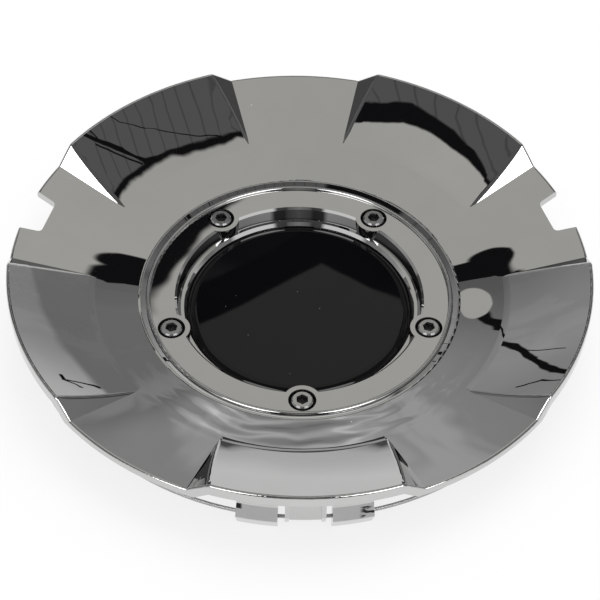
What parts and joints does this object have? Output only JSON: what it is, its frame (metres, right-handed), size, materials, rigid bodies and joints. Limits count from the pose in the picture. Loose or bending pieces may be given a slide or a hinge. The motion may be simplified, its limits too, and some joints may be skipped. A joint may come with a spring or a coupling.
{
  "type": "wheel centre cap",
  "caption": "Round dished wheel centre cap with raised panels at the rim, a screwed-on bezel round a black medallion, and barbed snap tabs with a tension wire behind.",
  "frame": {"origin": "on the cap's axis, in the plane that the ends of the snap tabs stand on", "axes": "+Z along the cap's axis, out of the display face; -Y through the middle of one raised panel"},
  "size_m": [0.216, 0.2159, 0.0286],
  "materials": {
    "shell_chrome": "bright chrome plate on moulded plastic",
    "bezel_chrome": "bright chrome plate on moulded plastic",
    "medallion_black": "gloss black, bare",
    "screw_chrome": "bright plated screw",
    "wire_steel": "drawn spring wire"
  },
  "bodies": {
    "root": {"cap_shell": "shell_chrome", "bezel_ring": "bezel_chrome", "medallion": "medallion_black", "bezel_screws": "screw_chrome", "retaining_wire": "wire_steel"}
  },
  "joints": []
}
